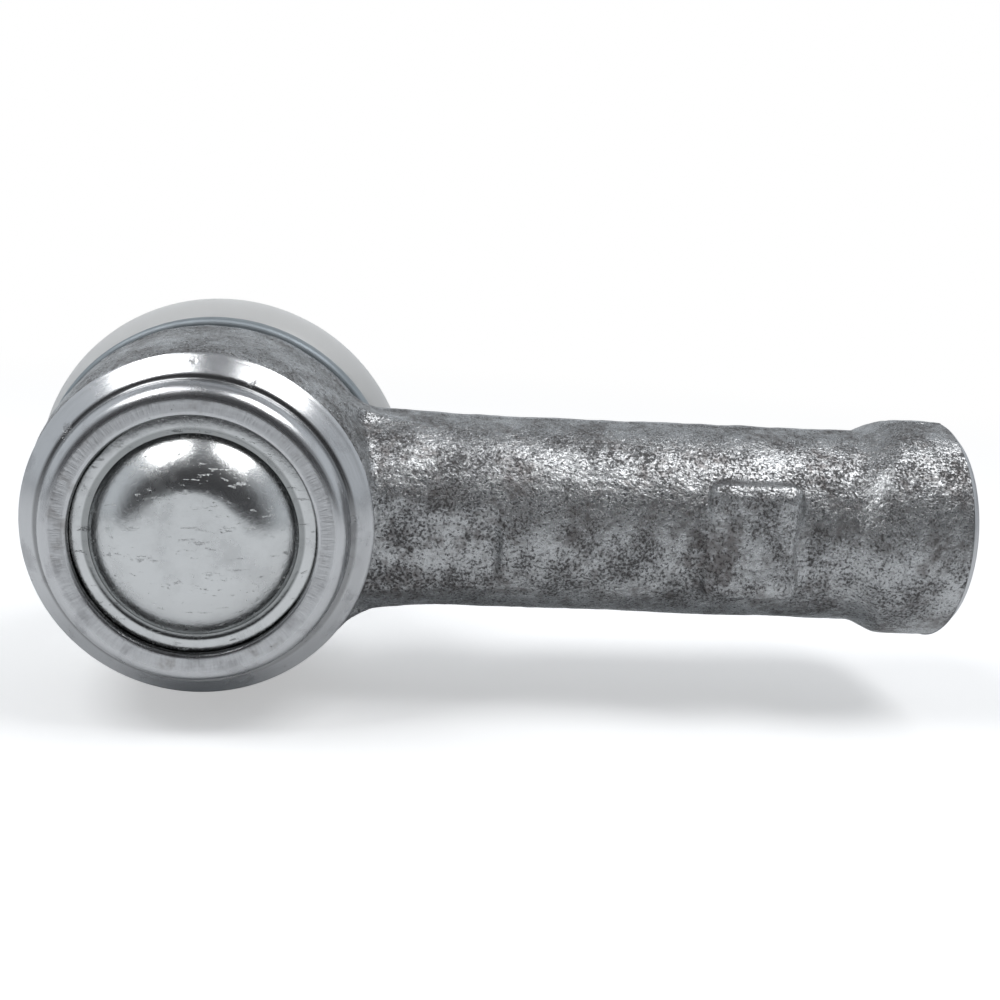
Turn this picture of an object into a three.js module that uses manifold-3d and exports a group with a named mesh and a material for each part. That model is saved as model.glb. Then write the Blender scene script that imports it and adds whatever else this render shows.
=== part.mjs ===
// Tie rod end: an outer ball joint with a forged shank, a cap rolled into one side of its head
// and a ball stud that comes out of the other side under a rubber-like dust boot.
//
// Frame, in millimetres: the origin is the centre of the ball, where the stud axis meets the rod
// axis. +X runs along the shank to its threaded end, +Y runs along the stud, and +Z is up.
import * as THREE from 'three';
import { mergeVertices } from 'three/addons/utils/BufferGeometryUtils.js';
import Module from 'manifold-3d';

const wasm = await Module();
wasm.setup();

// ---- driving dimensions -------------------------------------------------------------------
const GAP = 0.1; // between pieces that rest on each other
const RUNNING = 0.09; // radial clearance of the ball in its bearing

const BALL_R = 11;
const BORE_R = 12.8; // bearing bore in the head
const MOUTH_R = 10.4; // narrowest part of the mouth that holds the ball in
const MOUTH_FACE_Y = 10.5;

const FLANGE_R = 18; // turned flange round the cap
const FLANGE_Y = -12.74;
const LIP_TOP_Y = -17.16; // rolled lip that holds the cap
const LIP_INNER_R = 12.25;
const LIP_OUTER_R = 13.7;
const LIP_WALL = 0.9;
const RIM_R = 15.46; // foot of the rolled rim
const RIM_FOOT_Y = -15.9;
const CAP_RIM_R = 13.15;
const CAP_SEAT_Y = -14.6;
const CAP_WALL = 1.5;
const DOME_TOP_Y = -19.5;
const DOME_FLAT_R = 4.9;
const DOME_SHOULDER_R = 10.1; // where the crown ends, at the dimple round its foot
const DOME_CROWN = 3.03; // how far the crown drops from the flat to the shoulder
const DOME_FOOT_R = 10.9;

const BARREL_R = 19.4; // forged wall of the head
const SEAT_Y = 2.1; // face where the boot seat begins
const SEAT_R = 16.8;
const LAND_R = 17.4;

const SHANK_R = 10.85; // forged shank next to the head
const SHANK_END_R = 11.15; // and just before its collar
const NECK_R = 11.3;
const NECK_FILLET = 12; // fillets between the head and the shank
const NECK_FLAT_DEPTH = 9.75; // from the rod axis to the flat pressed on the cap side of the neck
const NECK_FLAT_LEAN = 11.2; // degrees that this flat faces downward
const NECK_FLAT_END_X = 31.4;
const COLLAR_X = 74; // the step up to the collar
const COLLAR_FULL_X = 78.6;
const COLLAR_R = 12.6;
const ROD_END_X = 84.3;
const ROD_CHAMFER = 0.9;
const THREAD_R = 6.5; // M14 x 1.5, at its pitch diameter
const THREAD_DEPTH = 46;
const THREAD_CHAMFER = 0.8;

const PAD_X = 59.2; // marking pad on the cap side of the shank
const PAD_LENGTH = 10.4;
const PAD_HEIGHT = 12.8;
const PAD_FACE_Y = -11.4;
const PAD_CORNER = 1.2;
const PAD_BEVEL = 0.6;

const STUD_NECK_R = 6.2;
const STUD_NECK_END_Y = 15.5;
const BOOT_SEAT_R = 7.2;
const BOOT_SEAT_Y = 17.5;
const TAPER_Y = 28.2; // 1:10 taper that sits in the steering arm
const TAPER_LENGTH = 18;
const TAPER_BIG_R = 7.1;
const TAPER_SMALL_R = TAPER_BIG_R - TAPER_LENGTH / 20;
const STUD_THREAD_R = 5.6; // M12 x 1.25, at its pitch diameter
const STUD_END_Y = 65.5;
const SOCKET_ACROSS = 6; // hexagon socket that holds the stud still
const SOCKET_DEPTH = 5;

const BOOT_WALL = 1.1;
const CLAMP_OUTER_R = 20.1;
const CLAMP_INNER_R = 18.25;
const CLAMP_Y = 2.4;
const CLAMP_END_Y = 5.06;
const NECK_RING_R = 9.3;
const NECK_RING_WIRE_R = 0.7;
const NECK_RING_Y = 25.5;

const NUT_Y = 52; // the nut as it is delivered, near the stud's end
const NUT_ACROSS = 18;
const NUT_HEX_HEIGHT = 9;
const NUT_HEIGHT = 12;
const NUT_COLLAR_R = 8.3;
const INSERT_R = 7.4;
const INSERT_LENGTH = 2.2;

const ROUND = 48; // facets round the head and its rings
const BALL_ROUND = 40; // round the ball and its bearing
const SMALL_ROUND = 32; // round everything smaller

// ---- helpers ------------------------------------------------------------------------------

const degrees = THREE.MathUtils.radToDeg;

/** Turn an outline of [radius, y] points about the stud axis. */
function turned(outline, facets = ROUND) {
  const points = outline.map(([r, y]) => new THREE.Vector2(r, y));
  return tidy(new THREE.LatheGeometry(points, facets));
}

/** The same, closed on itself: a ring that leaves the axis free. */
function ring(outline, facets = ROUND) {
  return turned([...outline, outline[0]], facets);
}

/** Points on an arc in the outline's plane, with angles in degrees from the +radius direction. */
function arc(r, y, radius, from, to, steps) {
  return Array.from({ length: steps + 1 }, (_, i) => {
    const angle = THREE.MathUtils.degToRad(from + ((to - from) * i) / steps);
    return [r + radius * Math.cos(angle), y + radius * Math.sin(angle)];
  });
}

/** Merge shared vertices, drop flat triangles and make every face point outwards. */
function tidy(geometry) {
  geometry.deleteAttribute('normal');
  geometry.deleteAttribute('uv');
  const merged = mergeVertices(geometry, 1e-4);
  const corners = Array.from(merged.index.array);
  const kept = [];
  for (let i = 0; i < corners.length; i += 3) {
    const [a, b, c] = corners.slice(i, i + 3);
    if (a !== b && b !== c && c !== a) kept.push(a, b, c);
  }
  const at = (i) => new THREE.Vector3().fromBufferAttribute(merged.getAttribute('position'), i);
  let volume = 0;
  for (let i = 0; i < kept.length; i += 3) {
    volume += at(kept[i]).dot(at(kept[i + 1]).cross(at(kept[i + 2])));
  }
  merged.setIndex(volume < 0 ? kept.reverse() : kept);
  return merged;
}

function toSolid(geometry) {
  const vertProperties = new Float32Array(geometry.getAttribute('position').array);
  const triVerts = new Uint32Array(geometry.index.array);
  return new wasm.Manifold(new wasm.Mesh({ numProp: 3, vertProperties, triVerts }));
}

function toGeometry(solid) {
  const { vertProperties, triVerts, numProp } = solid.getMesh();
  const places = vertProperties.filter((_, i) => i % numProp < 3);
  const geometry = new THREE.BufferGeometry();
  geometry.setAttribute('position', new THREE.BufferAttribute(places, 3));
  geometry.setIndex(Array.from(triVerts));
  geometry.computeVertexNormals();
  return geometry;
}

/** Lay a geometry that was turned about +Y along the rod, +X. */
function alongRod(geometry) {
  return geometry.rotateZ(-Math.PI / 2);
}

/** A hexagonal prism about the stud axis, from y upwards. */
function hexagon(across, y, height) {
  const corner = across / Math.sqrt(3);
  return tidy(new THREE.CylinderGeometry(corner, corner, height, 6).translate(0, y + height / 2, 0));
}

const assembly = new THREE.Group();

function place(name, geometry, color, roughness, metalness) {
  geometry.computeVertexNormals();
  const material = new THREE.MeshStandardMaterial({ color, roughness, metalness });
  const mesh = new THREE.Mesh(geometry, material);
  mesh.name = name;
  assembly.add(mesh);
}

// ---- forged housing -----------------------------------------------------------------------

/** Head: the rolled rim, the turned flange, the forged barrel and the boot seat. */
function headSolid() {
  const outer = [
    [0, LIP_TOP_Y],
    [LIP_OUTER_R, LIP_TOP_Y],
    [LIP_OUTER_R + 0.9, LIP_TOP_Y + 0.25],
    [RIM_R - 0.25, LIP_TOP_Y + 0.7],
    [RIM_R, RIM_FOOT_Y],
    [RIM_R + 0.14, FLANGE_Y - 1.9],
    [RIM_R + 0.44, FLANGE_Y - 1.5],
    [RIM_R + 0.94, FLANGE_Y - 1.4],
    [FLANGE_R - 0.7, FLANGE_Y - 0.85],
    [FLANGE_R - 0.2, FLANGE_Y - 0.4],
    [FLANGE_R, FLANGE_Y],
    [FLANGE_R - 0.1, FLANGE_Y + 0.8],
    [FLANGE_R - 0.3, FLANGE_Y + 1.4],
    [BARREL_R - 0.7, FLANGE_Y + 4.5],
    [BARREL_R - 0.1, FLANGE_Y + 8.5],
    [BARREL_R, SEAT_Y - 0.4],
    [BARREL_R - 0.3, SEAT_Y],
    [SEAT_R, SEAT_Y],
    [SEAT_R, 5.6],
    [LAND_R, 5.9],
    [LAND_R, MOUTH_FACE_Y - 1],
    [LAND_R - 1, MOUTH_FACE_Y],
    [0, MOUTH_FACE_Y],
  ];
  return toSolid(turned(outer));
}

/** Room for the cap, the bearing and the stud, open at both ends. */
function headBore() {
  const inner = [
    [0, LIP_TOP_Y - 1],
    [LIP_INNER_R + 0.45, LIP_TOP_Y - 1],
    [LIP_INNER_R + 0.45, LIP_TOP_Y],
    [LIP_INNER_R, LIP_TOP_Y + 0.45],
    [LIP_INNER_R, LIP_TOP_Y + LIP_WALL],
    [CAP_RIM_R + GAP, LIP_TOP_Y + LIP_WALL],
    [CAP_RIM_R + GAP, CAP_SEAT_Y + GAP],
    [BORE_R, CAP_SEAT_Y + GAP],
    [BORE_R, 4.6],
    [MOUTH_R, 8],
    [MOUTH_R + 1.6, MOUTH_FACE_Y],
    [MOUTH_R + 1.6, MOUTH_FACE_Y + 1],
    [0, MOUTH_FACE_Y + 1],
  ];
  return toSolid(turned(inner));
}

/** Shank, with its slight draft, the collar and the chamfered end. */
function shankSolid() {
  const outline = [
    [0, 2],
    [NECK_R, 2],
    [NECK_R, 19],
    [SHANK_R + 0.1, 23.5],
    [SHANK_R, 27],
    [SHANK_END_R, COLLAR_X - 1],
    [SHANK_END_R + 0.25, COLLAR_X],
    [COLLAR_R - 0.15, COLLAR_FULL_X],
    [COLLAR_R, COLLAR_FULL_X + 1],
    [COLLAR_R, ROD_END_X - ROD_CHAMFER],
    [COLLAR_R - ROD_CHAMFER, ROD_END_X],
    [0, ROD_END_X],
  ];
  return toSolid(tidy(alongRod(turned(outline))));
}

/** Webs that sweep from the head's barrel into the shank, above and below. */
function neckWebs() {
  const reach = BARREL_R - 0.4 + NECK_FILLET;
  const rise = SHANK_R + NECK_FILLET;
  const centreX = Math.sqrt(reach * reach - rise * rise);
  const start = degrees(Math.atan2(rise, centreX));
  const below = [[0, -BARREL_R * 0.75], ...arc(centreX, -rise, NECK_FILLET, 180 - start, 90, 8)];
  const above = below.map(([x, z]) => [x, -z]).reverse();
  const outline = new THREE.Shape([...below, ...above].map(([x, z]) => new THREE.Vector2(x, z)));
  const bevel = 1.5;
  const depth = 9;
  const web = new THREE.ExtrudeGeometry(outline, {
    depth, bevelEnabled: true, bevelSize: bevel, bevelThickness: bevel,
    bevelOffset: -bevel, bevelSegments: 3,
  });
  web.rotateX(Math.PI / 2);
  return toSolid(tidy(web.translate(0, 1, 0)));
}

/** Turned clearance for the boot on the rear of the neck. */
function bootRelief() {
  const relief = [
    [0, SEAT_Y],
    [23.6, SEAT_Y],
    [24.6, 4.6],
    [33, 11.8],
    [33, 15],
    [0, 15],
  ];
  return toSolid(turned(relief));
}

/** What the flat on the cap side of the neck takes away. */
function neckFlat() {
  const startX = 14;
  const depth = 6;
  const block = new THREE.BoxGeometry(NECK_FLAT_END_X - startX, depth, 1.8 * SHANK_R);
  block.translate((NECK_FLAT_END_X + startX) / 2, -NECK_FLAT_DEPTH - depth / 2, 0);
  return toSolid(tidy(block.rotateX(THREE.MathUtils.degToRad(NECK_FLAT_LEAN))));
}

/** Blind bore for the inner rod's thread, with a drill point and a chamfered mouth. */
function threadBore() {
  const floor = ROD_END_X - THREAD_DEPTH;
  const bore = [
    [0, floor - THREAD_R * 0.577],
    [THREAD_R, floor],
    [THREAD_R, ROD_END_X - THREAD_CHAMFER],
    [THREAD_R + THREAD_CHAMFER + 0.5, ROD_END_X + 0.5],
    [0, ROD_END_X + 0.5],
  ];
  return toSolid(tidy(alongRod(turned(bore, SMALL_ROUND))));
}

/** Flat pad that carries the maker's marking on real parts; plain here. */
function markingPad() {
  const half = new THREE.Vector2(PAD_LENGTH / 2, PAD_HEIGHT / 2);
  const pad = new THREE.Shape();
  pad.moveTo(-half.x + PAD_CORNER, -half.y);
  pad.absarc(half.x - PAD_CORNER, -half.y + PAD_CORNER, PAD_CORNER, -Math.PI / 2, 0, false);
  pad.absarc(half.x - PAD_CORNER, half.y - PAD_CORNER, PAD_CORNER, 0, Math.PI / 2, false);
  pad.absarc(-half.x + PAD_CORNER, half.y - PAD_CORNER, PAD_CORNER, Math.PI / 2, Math.PI, false);
  pad.absarc(-half.x + PAD_CORNER, -half.y + PAD_CORNER, PAD_CORNER, Math.PI, Math.PI * 1.5, false);
  const block = new THREE.ExtrudeGeometry(pad, {
    depth: 4, bevelEnabled: true, bevelSize: PAD_BEVEL, bevelThickness: PAD_BEVEL,
    bevelOffset: -PAD_BEVEL, bevelSegments: 2, curveSegments: 4,
  });
  block.rotateX(Math.PI / 2);
  return toSolid(tidy(block.translate(PAD_X, PAD_FACE_Y + 4 + PAD_BEVEL, 0)));
}

const housing = headSolid()
  .add(shankSolid().add(neckWebs()).subtract(bootRelief()).subtract(neckFlat()))
  .add(markingPad())
  .subtract(headBore())
  .subtract(threadBore());
place('housing', toGeometry(housing), 0x6f7173, 0.55, 0.9);

// ---- closing cap --------------------------------------------------------------------------

const capTop = CAP_SEAT_Y - CAP_WALL - 0.07;

/** Crown of the dome, from its flat to its shoulder, for a skin that lies depth below the top. */
function crown(depth, steps) {
  const width = DOME_SHOULDER_R - depth - DOME_FLAT_R;
  return Array.from({ length: steps + 1 }, (_, i) => {
    const share = i / steps;
    return [DOME_FLAT_R + width * share, DOME_TOP_Y + depth + DOME_CROWN * share ** 1.91];
  });
}

const cap = [
  [0, DOME_TOP_Y],
  ...crown(0, 6),
  [DOME_FOOT_R + 0.1, capTop],
  [CAP_RIM_R, capTop],
  [CAP_RIM_R, CAP_SEAT_Y],
  [DOME_FOOT_R + 0.1, CAP_SEAT_Y],
  [DOME_FOOT_R - CAP_WALL, CAP_SEAT_Y],
  ...crown(CAP_WALL, 3).reverse(),
  [0, DOME_TOP_Y + CAP_WALL],
];
place('closing_cap', turned(cap), 0xc3c8cb, 0.28, 1);

// ---- bearing inside the head ----------------------------------------------------------------

const SPRING_WALL = 0.8;
const PAD_FLOOR_Y = -12.75;
const discSpring = [
  [11.9, CAP_SEAT_Y + GAP],
  [11.9, CAP_SEAT_Y + GAP + SPRING_WALL],
  [5.5, PAD_FLOOR_Y - GAP],
  [5.5, PAD_FLOOR_Y - GAP - SPRING_WALL],
];
place('disc_spring', ring(discSpring, BALL_ROUND), 0x4c5157, 0.4, 1);

const shellR = BORE_R - 0.15;
const cupR = BALL_R + RUNNING;
const split = 0.2; // half the slot between the two shells
const greaseHoleR = 3;
const pressurePad = [
  [shellR, -split],
  [shellR, PAD_FLOOR_Y + 0.75],
  [shellR - 0.75, PAD_FLOOR_Y],
  [greaseHoleR, PAD_FLOOR_Y],
  ...arc(0, 0, cupR, -degrees(Math.acos(greaseHoleR / cupR)), -degrees(Math.asin(split / cupR)), 9),
];
place('pressure_pad', ring(pressurePad, BALL_ROUND), 0xe9e6da, 0.45, 0);

const shellEnd = 29.5; // how far up the ball the upper shell reaches, in degrees
const bearingShell = [
  [shellR, split],
  [shellR, 4.4],
  [11.45, 6.2],
  ...arc(0, 0, cupR, shellEnd, degrees(Math.asin(split / cupR)), 4),
];
place('bearing_shell', ring(bearingShell, BALL_ROUND), 0xe9e6da, 0.45, 0);

// ---- ball stud ------------------------------------------------------------------------------

const poleR = 3.4; // flat turned on the ball's pole
const ballStart = -degrees(Math.acos(poleR / BALL_R));
const ballEnd = degrees(Math.acos(STUD_NECK_R / BALL_R));
const taperEnd = TAPER_Y + TAPER_LENGTH;
const stud = [
  [0, BALL_R * Math.sin(THREE.MathUtils.degToRad(ballStart))],
  ...arc(0, 0, BALL_R, ballStart, ballEnd, 14),
  [STUD_NECK_R, STUD_NECK_END_Y],
  [BOOT_SEAT_R, BOOT_SEAT_Y],
  [BOOT_SEAT_R, TAPER_Y - 0.2],
  [TAPER_BIG_R, TAPER_Y],
  [TAPER_SMALL_R, taperEnd],
  [STUD_THREAD_R - 0.5, taperEnd + 0.6],
  [STUD_THREAD_R - 0.5, taperEnd + 1.8],
  [STUD_THREAD_R, taperEnd + 2.3],
  [STUD_THREAD_R, STUD_END_Y - 1],
  [STUD_THREAD_R - 1, STUD_END_Y],
  [0, STUD_END_Y],
];
const socket = toSolid(hexagon(SOCKET_ACROSS, STUD_END_Y - SOCKET_DEPTH, SOCKET_DEPTH + 1));
place('ball_stud', toGeometry(toSolid(turned(stud, BALL_ROUND)).subtract(socket)), 0x9a9c9d, 0.3, 1);

// ---- dust boot and its rings ------------------------------------------------------------------

/** Bellows from the seat on the head, over two folds, to a neck that grips the stud. */
function bootOutline() {
  const beadR = CLAMP_INNER_R - 0.2;
  const skin = new THREE.SplineCurve([
    new THREE.Vector2(beadR, CLAMP_END_Y + 0.25),
    new THREE.Vector2(20.3, 7.2),
    new THREE.Vector2(21.7, 11.2),
    new THREE.Vector2(18.8, 14.4),
    new THREE.Vector2(14.3, 16.4),
    new THREE.Vector2(16.6, 19.2),
    new THREE.Vector2(13.2, 21.6),
    new THREE.Vector2(9.3, 23.4),
  ]);
  const outer = [];
  const inner = [];
  const steps = 16;
  for (let i = 0; i <= steps; i += 1) {
    const point = skin.getPoint(i / steps);
    const along = skin.getTangent(i / steps);
    outer.push([point.x, point.y]);
    inner.push([point.x - along.y * BOOT_WALL, point.y + along.x * BOOT_WALL]);
  }
  const groove = NECK_RING_WIRE_R + 0.2;
  const collar = [
    [9.3, NECK_RING_Y - groove],
    [8.45, NECK_RING_Y - groove + 0.2],
    [8.45, NECK_RING_Y + groove - 0.2],
    [9.3, NECK_RING_Y + groove],
    [9.3, TAPER_Y - 0.4],
    [BOOT_SEAT_R + GAP, TAPER_Y - 0.4],
    [BOOT_SEAT_R + GAP, 24.2],
  ];
  const bead = [
    [SEAT_R + 0.15, 5.4],
    [SEAT_R + 0.15, SEAT_Y + 0.3],
    [beadR, SEAT_Y + 0.3],
  ];
  return [...outer, ...collar, ...inner.reverse().slice(1, -2), ...bead];
}
place('dust_boot', ring(bootOutline(), SMALL_ROUND), 0xdfe2e2, 0.4, 0);

const clampEdge = 0.35;
const clampRing = [
  [CLAMP_INNER_R, CLAMP_Y],
  [CLAMP_OUTER_R - 2 * clampEdge, CLAMP_Y],
  [CLAMP_OUTER_R, CLAMP_Y + 2 * clampEdge],
  [CLAMP_OUTER_R, CLAMP_END_Y - clampEdge],
  [CLAMP_OUTER_R - clampEdge, CLAMP_END_Y],
  [CLAMP_INNER_R, CLAMP_END_Y],
];
place('boot_clamp_ring', ring(clampRing), 0x98a1a6, 0.4, 0.8);

const neckRing = arc(NECK_RING_R, NECK_RING_Y, NECK_RING_WIRE_R, 0, 360, 10).slice(0, -1);
place('boot_neck_ring', ring(neckRing, SMALL_ROUND), 0x8d9092, 0.35, 1);

// ---- self-locking nut -------------------------------------------------------------------------

const nutTop = NUT_Y + NUT_HEIGHT;
const insertY = nutTop - 0.7 - INSERT_LENGTH;
const nutCorner = NUT_ACROSS / Math.sqrt(3);
const nutEnvelope = [
  [0, NUT_Y],
  [NUT_ACROSS / 2 - 0.3, NUT_Y],
  [nutCorner + 0.1, NUT_Y + 0.8],
  [nutCorner + 0.1, NUT_Y + NUT_HEX_HEIGHT - 1],
  [NUT_COLLAR_R + 0.4, NUT_Y + NUT_HEX_HEIGHT],
  [0, NUT_Y + NUT_HEX_HEIGHT],
];
const nutCollar = [
  [0, NUT_Y + NUT_HEX_HEIGHT - 1],
  [NUT_COLLAR_R, NUT_Y + NUT_HEX_HEIGHT - 1],
  [NUT_COLLAR_R, nutTop - 0.8],
  [NUT_COLLAR_R - 0.8, nutTop],
  [0, nutTop],
];
const nutBore = [
  [0, NUT_Y - 1],
  [STUD_THREAD_R + GAP + 0.8, NUT_Y - 1],
  [STUD_THREAD_R + GAP + 0.8, NUT_Y],
  [STUD_THREAD_R + GAP, NUT_Y + 0.8],
  [STUD_THREAD_R + GAP, insertY - GAP],
  [INSERT_R + GAP, insertY - GAP],
  [INSERT_R + GAP, insertY + INSERT_LENGTH + GAP],
  [INSERT_R - 0.5, nutTop],
  [INSERT_R - 0.5, nutTop + 1],
  [0, nutTop + 1],
];
const nut = toSolid(hexagon(NUT_ACROSS, NUT_Y - 1, NUT_HEIGHT))
  .intersect(toSolid(turned(nutEnvelope, SMALL_ROUND)))
  .add(toSolid(turned(nutCollar, SMALL_ROUND)))
  .subtract(toSolid(turned(nutBore, SMALL_ROUND)));
place('lock_nut', toGeometry(nut), 0xb9b596, 0.35, 0.9);

const insert = [
  [STUD_THREAD_R + GAP, insertY],
  [INSERT_R, insertY],
  [INSERT_R, insertY + INSERT_LENGTH],
  [STUD_THREAD_R + GAP, insertY + INSERT_LENGTH],
];
place('lock_nut_insert', ring(insert, SMALL_ROUND), 0x3f6fae, 0.5, 0);

export default assembly;
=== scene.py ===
import math

import bmesh
import bpy
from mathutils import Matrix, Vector, noise


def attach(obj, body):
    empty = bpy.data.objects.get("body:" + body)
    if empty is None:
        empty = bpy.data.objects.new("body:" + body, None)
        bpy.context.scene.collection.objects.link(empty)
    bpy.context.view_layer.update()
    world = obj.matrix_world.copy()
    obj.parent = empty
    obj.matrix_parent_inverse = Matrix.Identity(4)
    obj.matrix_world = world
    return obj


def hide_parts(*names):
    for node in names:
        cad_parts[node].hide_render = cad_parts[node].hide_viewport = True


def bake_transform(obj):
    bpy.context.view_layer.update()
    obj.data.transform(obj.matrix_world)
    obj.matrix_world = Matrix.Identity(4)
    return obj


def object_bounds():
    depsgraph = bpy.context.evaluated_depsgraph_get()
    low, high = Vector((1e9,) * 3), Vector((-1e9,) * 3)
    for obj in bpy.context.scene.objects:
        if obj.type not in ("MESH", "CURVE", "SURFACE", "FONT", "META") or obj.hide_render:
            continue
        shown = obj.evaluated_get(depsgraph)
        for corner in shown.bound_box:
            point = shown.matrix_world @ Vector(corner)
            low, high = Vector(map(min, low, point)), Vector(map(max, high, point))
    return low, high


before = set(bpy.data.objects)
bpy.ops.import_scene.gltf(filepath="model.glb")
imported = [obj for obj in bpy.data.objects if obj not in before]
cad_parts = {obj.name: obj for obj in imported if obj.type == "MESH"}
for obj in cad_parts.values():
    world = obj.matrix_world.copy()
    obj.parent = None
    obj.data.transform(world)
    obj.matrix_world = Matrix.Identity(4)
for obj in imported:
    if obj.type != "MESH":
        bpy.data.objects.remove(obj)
cad_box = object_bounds()

# Studio: the part lies on its side on a pale floor, under two softboxes that hang in front of it
# and above it, left and right. The room is pale, greyer overhead and dim in front.
MM = 0.001
scene = bpy.context.scene

camera = bpy.data.objects.new("camera", bpy.data.cameras.new("camera"))
camera.location = Vector((17.36, -140.79, 32.89)) * MM
camera.rotation_euler = [math.radians(angle) for angle in (77.41, -3.56, -5.24)]
camera.data.sensor_width = 36
camera.data.lens = 45.4
camera.data.clip_start = 0.005
scene.collection.objects.link(camera)
scene.camera = camera

scene.view_settings.view_transform = "Standard"
scene.view_settings.look = "None"


class Shade:
    """A shader socket that can be used in sums. node() adds any other node of its material."""

    def __init__(self, tree, socket=None):
        self.tree = tree
        self.socket = socket

    def node(self, kind, settings=None, sockets=None, output=0):
        made = self.tree.nodes.new("ShaderNode" + kind)
        for name, value in (settings or {}).items():
            if name == "stops":
                for place, colour in value[2:]:
                    made.color_ramp.elements.new(place)
                for element, (place, colour) in zip(made.color_ramp.elements, sorted(value)):
                    element.position = place
                    element.color = (*colour, 1) if isinstance(colour, tuple) else (colour,) * 3 + (1,)
            else:
                setattr(made, name, value)
        for name, value in (sockets or {}).items():
            if isinstance(value, Shade):
                self.tree.links.new(value.socket, made.inputs[name])
            elif isinstance(value, tuple) and made.inputs[name].type == "RGBA":
                made.inputs[name].default_value = (*value, 1)
            else:
                made.inputs[name].default_value = value
        return Shade(self.tree, made.outputs[output])

    def math(self, operation, *values):
        return self.node("Math", {"operation": operation}, dict(enumerate((self, *values))))

    def vector(self, operation, *values, output=0):
        return self.node("VectorMath", {"operation": operation}, dict(enumerate((self, *values))), output)

    def __add__(self, other):
        return self.vector("ADD", tuple(other)) if isinstance(other, Vector) else self.math("ADD", other)

    def __mul__(self, other):
        return self.math("MULTIPLY", other)

    def __sub__(self, other):
        return self + other * -1 if isinstance(other, Vector) else self.math("SUBTRACT", other)

    def __rsub__(self, other):
        return self * -1 + other

    def __truediv__(self, other):
        return self.math("DIVIDE", other)

    __radd__ = __add__
    __rmul__ = __mul__

    def part(self, axis):
        return self.node("SeparateXYZ", None, {0: self}, "XYZ".index(axis))

    def stretch(self, x, y, z):
        return self.vector("MULTIPLY", (x, y, z))

    def grain(self, size, detail=2.0, rough=0.5, kind="FBM"):
        """Noise from 0 to 1 whose blotches are about size metres across."""
        sockets = {"Vector": self, "Scale": 1 / size, "Detail": detail, "Roughness": rough}
        return self.node("TexNoise", {"noise_type": kind}, sockets)

    def ramp(self, low, high, to_low=0.0, to_high=1.0):
        """Follow a value from low to high, smoothly, and hold it outside them."""
        sockets = {"Value": self, "From Min": low, "From Max": high, "To Min": to_low, "To Max": to_high}
        return self.node("MapRange", {"interpolation_type": "SMOOTHSTEP"}, sockets)

    def mix(self, one, other):
        """Colour one where this value is 0, and colour other where it is 1."""
        return self.node("Mix", {"data_type": "RGBA"}, {"Factor": self, 6: one, 7: other}, 2)

    def bump(self, depth, under=None):
        """A normal for hills as high as depth metres where this value is 1."""
        sockets = {"Height": self, "Distance": depth, "Strength": 1.0}
        if under:
            sockets["Normal"] = under
        return self.node("Bump", None, sockets)


def finish(name, make, **fixed):
    """A material whose varying inputs make(place) gives and whose other inputs are fixed numbers."""
    material = bpy.data.materials.new(name)
    material.use_nodes = True
    tree = material.node_tree
    shader = tree.nodes["Principled BSDF"]
    place = Shade(tree, tree.nodes.new("ShaderNodeTexCoord").outputs["Object"])
    for socket, value in make(place).items():
        if isinstance(value, Shade):
            tree.links.new(value.socket, shader.inputs[socket])
        else:
            shader.inputs[socket].default_value = (*value, 1) if isinstance(value, tuple) else value
    for socket, value in fixed.items():
        shader.inputs[socket.replace("_", " ")].default_value = value
    return material


world = bpy.data.worlds.new("studio")
world.use_nodes = True
scene.world = world
room = Shade(world.node_tree, world.node_tree.nodes.new("ShaderNodeTexCoord").outputs["Generated"])
overhead = room.part("Z").ramp(0.6, 0.85)
pale = overhead.mix((0.56, 0.59, 0.62), (0.25, 0.26, 0.275))
in_front = room.part("Y").ramp(-0.1, -0.7)
walls = in_front.mix(pale, (0.05, 0.05, 0.053))
seen = Shade(world.node_tree, world.node_tree.nodes.new("ShaderNodeLightPath").outputs["Is Camera Ray"])
backdrop = world.node_tree.nodes["Background"].inputs["Color"]
world.node_tree.links.new(seen.mix(walls, (1, 1, 1)).socket, backdrop)


def softbox(name, towards, distance, size, power):
    """A square light that shines at the head from the direction towards."""
    light = bpy.data.objects.new(name, bpy.data.lights.new(name, "AREA"))
    light.data.shape = "SQUARE"
    light.data.size = size
    light.data.energy = power
    light.location = Vector(towards).normalized() * distance
    light.rotation_mode = "QUATERNION"
    light.rotation_quaternion = Vector(towards).to_track_quat("Z", "Y")
    light.visible_camera = False
    scene.collection.objects.link(light)


softbox("softbox_left", (-0.45, -0.19, 0.87), 0.55, 0.25, 1.05)
softbox("softbox_right", (0.44, -0.18, 0.88), 0.55, 0.25, 1.05)


def mesh_piece(name, build, material, smooth_angle=35):
    """An object at the origin from the bmesh that build(bm) fills."""
    bm = bmesh.new()
    build(bm)
    mesh = bpy.data.meshes.new(name)
    bm.to_mesh(mesh)
    bm.free()
    piece = bpy.data.objects.new(name, mesh)
    scene.collection.objects.link(piece)
    shade_smooth(piece, smooth_angle)
    if material:
        mesh.materials.append(material)
    return piece


def shade_smooth(piece, angle):
    piece.data.shade_smooth()
    piece.data.set_sharp_from_angle(angle=math.radians(angle))


floor_z = cad_box[0].z


def lay_floor(bm):
    bmesh.ops.create_circle(bm, cap_ends=True, radius=4, segments=64)
    bmesh.ops.translate(bm, verts=bm.verts, vec=(0, 0, floor_z))


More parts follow.
